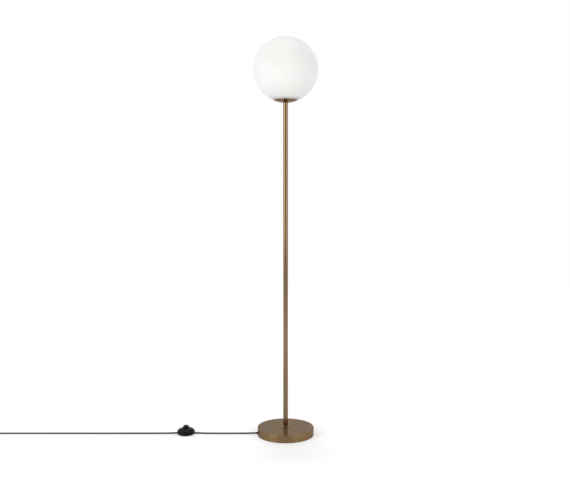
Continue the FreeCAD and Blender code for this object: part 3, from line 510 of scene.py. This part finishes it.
def make_camera():
    data = bpy.data.cameras.new("camera")
    data.sensor_width = SENSOR_MM
    data.lens = FOCAL_PIXELS / IMAGE_WIDTH * SENSOR_MM
    data.shift_x = (IMAGE_WIDTH / 2 - LAMP_AXIS_PIXEL) / IMAGE_WIDTH
    data.shift_y = (HORIZON_PIXEL - IMAGE_HEIGHT / 2) / IMAGE_WIDTH
    camera = bpy.data.objects.new("camera", data)
    camera.location = (0, -CAMERA_DISTANCE, CAMERA_HEIGHT)
    camera.rotation_euler = (math.pi / 2, 0, 0)
    bpy.context.scene.collection.objects.link(camera)
    bpy.context.scene.camera = camera


# ---------------------------------------------------------------- the lead


def cord_curve(name, points):
    """A round lead along a smooth curve that has the points as its control points."""
    data = bpy.data.curves.new(name, "CURVE")
    data.dimensions = "3D"
    data.bevel_depth = CORD_RADIUS
    data.bevel_resolution = 6
    data.use_fill_caps = True
    spline = data.splines.new("NURBS")
    spline.points.add(len(points) - 1)
    for point, place in zip(spline.points, points):
        point.co = (*place, 1.0)
    spline.order_u = 3
    spline.use_endpoint_u = True
    spline.resolution_u = 8
    spline.use_smooth = True
    piece = bpy.data.objects.new(name, data)
    bpy.context.scene.collection.objects.link(piece)
    return piece


def coil_points():
    """In on the floor, up a layer in the half turn where the spiral turns back, and out on top."""
    layer = 360.0 * COIL_LAYER_TURNS
    climb_end = layer + 180.0
    total = climb_end + layer
    inner = COIL_RADIUS - COIL_PITCH * COIL_LAYER_TURNS
    outward = 1 / math.cos(math.radians(COIL_STEP / 2))
    points = []
    for step in range(1, int(total / COIL_STEP) + 1):
        angle = step * COIL_STEP
        if angle <= layer:
            radius = COIL_RADIUS - COIL_PITCH * angle / 360.0
            share = min(1.0, angle / 90.0)
            height = CORD_FLOOR + (COIL_LOW_HEIGHT - CORD_FLOOR) * share
        elif angle < climb_end:
            into = angle - layer
            radius = inner - COIL_PITCH * min(into, 180.0 - into) / 360.0
            height = COIL_LOW_HEIGHT + COIL_PITCH * (1 - math.cos(math.radians(into))) / 2
        else:
            radius = inner + COIL_PITCH * (angle - climb_end) / 360.0
            height = COIL_LOW_HEIGHT + COIL_PITCH
        turn = math.radians(90.0 + angle)
        points.append((
            COIL_X + radius * outward * math.cos(turn),
            -COIL_RADIUS + radius * outward * math.sin(turn),
            height,
        ))
    return points


def make_cords():
    to_switch = cord_curve("lead_base_to_switch", [
        (CORD_EXIT_X, 0, CORD_EXIT_HEIGHT),
        (CORD_EXIT_X - CORD_OUT, 0, CORD_EXIT_HEIGHT),
        (CORD_EXIT_X - CORD_OUT - CORD_DOWN, 0, CORD_FLOOR),
        (SWITCH_X + CORD_ON_FLOOR, 0, CORD_FLOOR),
        (SWITCH_X + CORD_AT_WALL, 0, SWITCH_CORD_HEIGHT),
        (SWITCH_X + CORD_IN_SWITCH, 0, SWITCH_CORD_HEIGHT),
    ])
    dress(to_switch, MATERIALS["cord_sheath"], "cord_sheath", "lamp", "cord_base_to_switch")
    spacing = COIL_RADIUS * math.radians(COIL_STEP)
    coil = coil_points()
    to_plug = cord_curve("lead_switch_to_plug", [
        (SWITCH_X - CORD_IN_SWITCH, 0, SWITCH_CORD_HEIGHT),
        (SWITCH_X - CORD_AT_WALL, 0, SWITCH_CORD_HEIGHT),
        (SWITCH_X - CORD_ON_FLOOR, 0, CORD_FLOOR),
        (COIL_X + spacing, 0, CORD_FLOOR),
        (COIL_X, 0, CORD_FLOOR),
        *coil,
        *((COIL_X - past, 0, height) for past, height in COIL_TAIL),
        (PLUG_CORD_END_X + PLUG_CORD_STRAIGHT, 0, PLUG_AXIS_HEIGHT),
        (PLUG_CORD_END_X, 0, PLUG_AXIS_HEIGHT),
    ])
    dress(
        to_plug, MATERIALS["cord_sheath"], "cord_sheath", "lamp", "cord_switch_to_coil", "cord_coil"
    )
    return to_switch, to_plug


def make_inner_lead():
    """The lead inside the base and the pole, seen from below and when the globe is off."""
    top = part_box("inner_lead")[1].z
    bend = 13.5 * MM
    lead = cord_curve("lead_inside", [
        (CORD_EXIT_X, 0, CORD_EXIT_HEIGHT),
        (-bend, 0, CORD_EXIT_HEIGHT),
        (0, 0, CORD_EXIT_HEIGHT),
        (0, 0, CORD_EXIT_HEIGHT + bend),
        (0, 0, top),
    ])
    dress(lead, MATERIALS["cord_sheath"], "cord_sheath", "lamp", "inner_lead")


# ---------------------------------------------------------------- pieces


def make_base_shell():
    """Spun cover with a rounded edge, open below, with a notch where the lead leaves."""
    top = BASE_HIGH.z
    skirt = BASE_LOW.z
    inner = BASE_RADIUS - COVER_WALL

    def over_notch(radius, height, angle):
        across = radius * math.sin(math.radians(angle))
        at_notch = 90 < angle < 270 and abs(across) < NOTCH_RADIUS
        if at_notch and radius > 0.9 * inner and height < top / 2:
            arch = CORD_EXIT_HEIGHT + math.sqrt(NOTCH_RADIUS**2 - across**2)
            return radius, max(height, arch)
        return radius, height

    outline = rounded(
        (THREAD_HOLE, top), (BASE_RADIUS, top, COVER_EDGE), (BASE_RADIUS, skirt), (inner, skirt),
        (inner, top - COVER_WALL, COVER_INNER_EDGE), (THREAD_HOLE, top - COVER_WALL), steps=7,
    )
    wide, fine = 2.5, 0.1
    notch_start, notch_end = 177.5, 182.5
    angles = [i * wide for i in range(71)]
    angles += [notch_start + i * fine for i in range(50)]
    angles += [notch_end + i * wide for i in range(71)]
    shell = lathe("base_shell", outline, angles=angles, shift=over_notch)
    dress(shell, MATERIALS["base_brass"], "aged_brass", "lamp", "base_cover")


def make_foot_bead():
    """Turned ring round the foot of the pole, with rounded edges."""
    low, high, outer = COLLAR_LOW.z, COLLAR_HIGH.z, COLLAR_HIGH.x
    bead = lathe("foot_bead", rounded(
        (COLLAR_BORE, low), (outer, low, 0.8 * MM), (outer, high, 1.3 * MM),
        (COLLAR_BORE + 0.5 * MM, high, 0.3 * MM), (COLLAR_BORE, high - 0.3 * MM),
    ))
    dress(bead, MATERIALS["pole_brass"], "aged_brass", "lamp", "foot_collar")


def make_pole_tubes():
    """Three tubes end to end. A fine rounding at each end shows as a hairline at the joints."""
    for node in ("pole_lower", "pole_middle", "pole_upper"):
        low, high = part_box(node)
        radius = high.x
        bore = radius - POLE_WALL
        tube = lathe(node + "_tube", rounded(
            (bore, low.z), (radius, low.z, POLE_EDGE), (radius, high.z, POLE_EDGE), (bore, high.z),
            steps=4,
        ), segments=96)
        dress(tube, MATERIALS["pole_brass"], "aged_brass", "lamp", node)


def make_dish():
    """Spun bowl with a rolled lip, the globe's seat."""
    bottom, rim = DISH_LOW.z, DISH_HIGH.z
    drop = rim - bottom - DISH_LIP
    rise = (DISH_RADIUS**2 - DISH_HUB**2 + drop**2) / (2 * drop)
    centre = bottom + rise
    ball = math.hypot(rise, DISH_HUB)
    inside = ball - DISH_WALL
    lip = DISH_RADIUS - DISH_WALL
    hub = math.sqrt(inside**2 - (rise - DISH_WALL) ** 2)

    def bowl(radius, start, end):
        angles = [-math.degrees(math.acos(reach / radius)) for reach in (start, end)]
        return ball_arc(radius, centre, *angles, 24)

    roll = DISH_WALL / 2
    rolled = [
        Vector((
            DISH_RADIUS - roll + roll * math.cos(math.pi * i / 8),
            rim - roll + roll * math.sin(math.pi * i / 8),
        ))
        for i in range(9)
    ]
    outline = [Vector((THREAD_HOLE, bottom))] + bowl(ball, DISH_HUB, DISH_RADIUS) + rolled
    outline += bowl(inside, lip, hub) + [Vector((THREAD_HOLE, bottom + DISH_WALL))]
    dish = lathe("dish_bowl", outline, segments=160)
    dress(dish, MATERIALS["dish_brass"], "aged_brass", "lamp", "holder_dish")


def make_globe():
    """Blown ball with a fire-polished rim round its opening."""
    centre = GLOBE_HIGH.z - GLOBE_RADIUS
    inside = GLOBE_RADIUS - GLASS_WALL
    polish = 1.2 * MM
    edge = GLOBE_OPENING + polish
    outer = ball_arc(GLOBE_RADIUS, centre, -math.degrees(math.acos(edge / GLOBE_RADIUS)), 90.0, 72)
    inner = ball_arc(inside, centre, 90.0, -math.degrees(math.acos(edge / inside)), 60)
    outer[-1].x = 0.0
    inner[0].x = 0.0
    low, high = outer[0].y, inner[-1].y
    rim = []
    for step in range(1, 6):
        angle = math.pi * step / 6
        rim.append(Vector((
            edge - polish * math.sin(angle),
            (low + high) / 2 + (high - low) / 2 * math.cos(angle),
        )))
    globe = lathe("globe_glass_ball", outer + inner + rim, segments=160)
    dress(globe, MATERIALS["opal_glass"], "opal_glass", "globe_glass", "globe")


def make_button_cap():
    """Soft cap over the button, with three fine grip rings on its crown."""
    top = BUTTON_HIGH.z
    cap = lathe("button_cap", rounded(
        (0, top - 0.3 * MM), (8.4 * MM, top - 0.8 * MM), (11.5 * MM, top - 7.4 * MM),
        (11.8 * MM, top - 7.4 * MM), (9.5 * MM, top - 0.1 * MM, 1.6 * MM), (0, top + 0.1 * MM),
    ), x=SWITCH_X, segments=96)
    dress(cap, MATERIALS["switch_plastic"], "switch_plastic", "button")
    pieces = [cap]
    for index, radius in enumerate((2.2 * MM, 3.9 * MM, 5.6 * MM)):
        level = top - 0.4 * MM * (radius / (6.4 * MM))
        ring = lathe(f"button_grip_ring_{index + 1}", rounded(
            (radius - 0.3 * MM, level - 0.4 * MM), (radius + 0.3 * MM, level - 0.4 * MM),
            (radius + 0.3 * MM, level + 0.15 * MM, 0.15 * MM),
            (radius - 0.3 * MM, level + 0.15 * MM, 0.15 * MM),
        ), x=SWITCH_X, segments=64)
        pieces.append(dress(ring, MATERIALS["switch_plastic"], "switch_plastic", "button"))
    return pieces


def make_press_spring():
    """Coil spring under the button, made at one length."""
    wire = 0.45 * MM
    turns, steps, around = 4, 28, 10
    coil = SPRING_HIGH.x - SWITCH_X - wire
    rise = (SPRING_HIGH.z - SPRING_LOW.z - 2 * wire) / turns
    shape = bmesh.new()
    rings = []
    for i in range(turns * steps + 1):
        turn = 2 * math.pi * i / steps
        outward = Vector((math.cos(turn), math.sin(turn), 0))
        along = Vector((-coil * math.sin(turn), coil * math.cos(turn), rise / (2 * math.pi)))
        upward = outward.cross(along.normalized())
        centre = Vector((SWITCH_X, 0, SPRING_LOW.z + wire + rise * i / steps)) + coil * outward
        ring = []
        for k in range(around):
            angle = 2 * math.pi * k / around
            spoke = math.cos(angle) * outward + math.sin(angle) * upward
            ring.append(shape.verts.new(centre + wire * spoke))
        rings.append(ring)
    skin(shape, rings)
    spring = finished("press_spring", shape)
    dress(spring, MATERIALS["plated_steel"], "plated_steel", "lamp", "button_spring")
    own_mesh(spring)
    return spring


def lofted(name, stations, y, z):
    """A closed body along X through stations of (x, half width, half height, squareness)."""
    around = 56
    shape = bmesh.new()
    rings = []
    for x, wide, high, square in stations:
        ring = []
        for i in range(around):
            turn = 2 * math.pi * i / around
            c, s = math.cos(turn), math.sin(turn)
            power = 2.0 / square
            ring.append(shape.verts.new((
                x,
                y + wide * math.copysign(abs(c) ** power, c),
                z + high * math.copysign(abs(s) ** power, s),
            )))
        rings.append(ring)
    skin(shape, rings)
    return finished(name, shape)


def make_plug():
    """Flat moulded plug: a waisted body with grip grooves and a ribbed tapered tail."""
    tail_end = PLUG_HIGH.x
    rear = tail_end - 22.0 * MM
    front = PLUG_LOW.x
    half = PLUG_HIGH.y
    high = (PLUG_HIGH.z - PLUG_LOW.z) / 2
    stations = [(tail_end, 3.6 * MM, 3.6 * MM, 2.0)]
    ribs = 5
    for i in range(ribs):
        start = tail_end - 1.6 * MM - i * 3.8 * MM
        outer = (3.75 + 0.34 * i) * MM
        for back, size in ((0.0, outer), (1.9 * MM, outer + 0.1 * MM), (2.2 * MM, outer - 0.7 * MM),
                           (3.5 * MM, outer - 0.6 * MM)):
            stations.append((start - back, size, size, 2.0))
    body = [
        (0.0, 5.3, 5.3, 2.0), (1.5, 6.4, 5.9, 2.4), (4.0, 8.0, 6.5, 3.0), (8.0, 10.6, 6.8, 3.4),
        (13.0, 14.6, 6.85, 3.8), (17.0, 16.6, 6.85, 4.0), (20.0, 17.3, 6.85, 4.2),
    ]
    for groove in (21.5, 24.5, 27.5):
        body += [
            (groove, 17.5, 6.85, 4.2), (groove + 0.5, 16.9, 6.5, 4.2),
            (groove + 1.1, 16.9, 6.5, 4.2), (groove + 1.6, 17.5, 6.85, 4.2),
        ]
    body += [
        (33.0, 17.3, 6.85, 4.2), (35.0, 16.4, 6.4, 4.0), (35.8, 15.4, 5.8, 4.0),
        (36.0, 14.6, 5.4, 4.0),
    ]
    for along, wide, tall, square in body:
        stations.append((
            rear - along * MM, min(wide * MM, half), min(tall * MM, high), square
        ))
    stations[-1] = (front, *stations[-1][1:])
    plug = lofted("plug_moulding", stations, 0.0, PLUG_AXIS_HEIGHT)
    dress(plug, MATERIALS["plug_plastic"], "plug_plastic", "lamp", "plug_body")
    return plug


def make_tie():
    """Hook-and-loop strap round the coil, its free end lapped over the top."""
    turn = math.radians(TIE_ANGLE)
    outward = Vector((math.cos(turn), math.sin(turn), 0))
    across = Vector((-outward.y, outward.x, 0))
    middle = Vector((COIL_X, -COIL_RADIUS, 0))
    inner = COIL_RADIUS - COIL_PITCH * (COIL_LAYER_TURNS + 0.25) - CORD_RADIUS - TIE_GAP
    outer = COIL_RADIUS + CORD_RADIUS + TIE_GAP
    low, high = TIE_LOW.z + TIE_THICKNESS, TIE_HIGH.z - TIE_THICKNESS
    bend = 3.2 * MM
    loop = rounded(
        (inner, low, bend), (outer, low, bend), (outer, high, bend), (inner, high, bend), steps=6
    )
    loop = loop[18:] + loop[:18]
    loop.append(loop[0].copy())
    count = len(loop)
    thickness = 0.75 * MM
    half_width = 4.5 * MM
    core = Vector(((inner + outer) / 2, (low + high) / 2))
    shape = bmesh.new()
    rows = []
    for i, point in enumerate(loop):
        before = loop[i - 1] if i else loop[-2]
        after = loop[i + 1] if i < count - 1 else loop[1]
        way = (after - before).normalized()
        normal = Vector((way.y, -way.x))
        if (point + normal * thickness - core).length < (point - core).length:
            normal = -normal
        row = []
        for offset, side in ((0, -1), (0, 1), (1, 1), (1, 0.5), (1, -0.5), (1, -1)):
            crown = 1.0 if abs(side) < 1 else 0.7
            place = point + normal * thickness * offset * crown
            spot = middle + outward * place.x + across * half_width * side
            row.append(shape.verts.new((spot.x, spot.y, place.y)))
        rows.append(row)
    skin(shape, rows)
    lap_start = inner + 5.0 * MM
    lap = []
    for i in range(7):
        share = i / 6
        reach = lap_start + 14.0 * MM * share
        tip = max(0.0, (share - 0.8) / 0.2)
        width = half_width * 0.92 * math.sqrt(max(0.05, 1 - tip**2))
        bottom = high + thickness * 0.72
        row = []
        top = bottom + 0.5 * MM
        for side, level in ((-1, bottom), (1, bottom), (1, top), (-1, top)):
            spot = middle + outward * reach + across * width * side
            row.append(shape.verts.new((spot.x, spot.y, level)))
        lap.append(row)
    skin(shape, lap)
    strap = finished("coil_strap", shape)
    dress(strap, MATERIALS["tie_strap"], "tie_strap", "lamp", "coil_tie")
    return strap


# ---------------------------------------------------------------- studio

FLOOR_RADIUS = 7.0
FLOOR_GLOW_NEAR = 0.28
FLOOR_GLOW_FAR = 0.50
GLOW_RISES_FROM = 0.6
GLOW_RISES_TO = 1.9
WORLD_AROUND = 0.86
WORLD_OVERHEAD = 0.25
DIM_SIDE = 0.50


def seen_ray(tree):
    """1 for camera, glossy and transmission rays: metal and glass show the background too."""
    path = tree.nodes.new("ShaderNodeLightPath")
    value = path.outputs["Is Camera Ray"]
    for name in ("Is Glossy Ray", "Is Transmission Ray"):
        larger = tree.nodes.new("ShaderNodeMath")
        larger.operation = "MAXIMUM"
        tree.links.new(value, larger.inputs[0])
        tree.links.new(path.outputs[name], larger.inputs[1])
        value = larger.outputs["Value"]
    return value


def make_floor():
    """Pale round floor. It glows more away from the lamp, so that it meets the white world."""
    mesh = bpy.data.meshes.new("studio_floor")
    count = 96
    turns = [2 * math.pi * i / count for i in range(count)]
    rim = [(FLOOR_RADIUS * math.cos(turn), FLOOR_RADIUS * math.sin(turn), 0) for turn in turns]
    mesh.from_pydata(rim, [], [tuple(range(count))])
    floor = bpy.data.objects.new("studio_floor", mesh)
    bpy.context.scene.collection.objects.link(floor)
    surface = Surface("studio_floor", Roughness=0.9)
    surface.shader.inputs["Base Color"].default_value = (0.88, 0.88, 0.88, 1)
    surface.shader.inputs["Specular IOR Level"].default_value = 0.0
    surface.shader.inputs["Emission Color"].default_value = (1, 1, 1, 1)
    away = surface.node("ShaderNodeVectorMath", operation="LENGTH")
    surface.link(surface.place, away.inputs[0])
    glow = surface.spread(
        away.outputs["Value"], FLOOR_GLOW_NEAR, FLOOR_GLOW_FAR, GLOW_RISES_FROM, GLOW_RISES_TO
    )
    strength = surface.math("MULTIPLY", seen_ray(surface.tree), glow)
    surface.link(strength, surface.shader.inputs["Emission Strength"])
    mesh.materials.append(surface.material)


def make_world():
    """White all round, dimmer on the photographer's side as a studio is."""
    world = bpy.data.worlds.new("studio")
    world.use_nodes = True
    bpy.context.scene.world = world
    tree = world.node_tree

    def mapped(value, start, end, low, high):
        made = tree.nodes.new("ShaderNodeMapRange")
        made.inputs["From Min"].default_value = start
        made.inputs["From Max"].default_value = end
        made.inputs["To Min"].default_value = low
        made.inputs["To Max"].default_value = high
        tree.links.new(value, made.inputs["Value"])
        return made.outputs["Result"]

    def mixed(share, one, other):
        made = tree.nodes.new("ShaderNodeMix")
        for name, value in (("Factor", share), ("A", one), ("B", other)):
            tree.links.new(value, made.inputs[name])
        return made.outputs["Result"]

    place = tree.nodes.new("ShaderNodeTexCoord")
    parts = tree.nodes.new("ShaderNodeSeparateXYZ")
    tree.links.new(place.outputs["Generated"], parts.inputs["Vector"])
    lighting = mapped(parts.outputs["Z"], 0.3, 1.0, WORLD_AROUND, WORLD_OVERHEAD)
    mirrored = mapped(parts.outputs["Y"], -0.92, -0.35, DIM_SIDE, 1.0)
    shown = mixed(seen_ray(tree), lighting, mirrored)
    path = tree.nodes.new("ShaderNodeLightPath")
    strength = tree.nodes.new("ShaderNodeMath")
    strength.operation = "MAXIMUM"
    tree.links.new(shown, strength.inputs[0])
    tree.links.new(path.outputs["Is Camera Ray"], strength.inputs[1])
    background = tree.nodes["Background"]
    background.inputs["Color"].default_value = (1, 1, 1, 1)
    tree.links.new(strength.outputs["Value"], background.inputs["Strength"])


def softbox(name, place, aim, width, height, power):
    data = bpy.data.lights.new(name, "AREA")
    data.shape = "RECTANGLE"
    data.size = width
    data.size_y = height
    data.energy = power
    lamp = bpy.data.objects.new(name, data)
    lamp.location = place
    lamp.rotation_euler = (Vector(aim) - Vector(place)).to_track_quat("-Z", "Y").to_euler()
    bpy.context.scene.collection.objects.link(lamp)


def make_lights():
    softbox("key_left", (-2.1, -1.9, 1.3), (0, 0, 1.0), 1.3, 1.6, 30)
    softbox("key_right", (2.1, -1.9, 1.3), (0, 0, 1.0), 1.3, 1.6, 19)
    softbox("top", (-0.07, 0.62, 5.5), (0, 0, 0), 0.7, 0.7, 52)


# ---------------------------------------------------------------- the scene

make_camera()
dress_cad_nodes()
lead_to_switch, lead_to_plug = make_cords()
plug = make_plug()
strap = make_tie()
on_switch = make_button_cap() + [make_press_spring()]
make_inner_lead()
make_base_shell()
make_foot_bead()
make_pole_tubes()
make_dish()
make_globe()
make_floor()
make_world()
make_lights()
bpy.context.scene.view_settings.view_transform = "Standard"
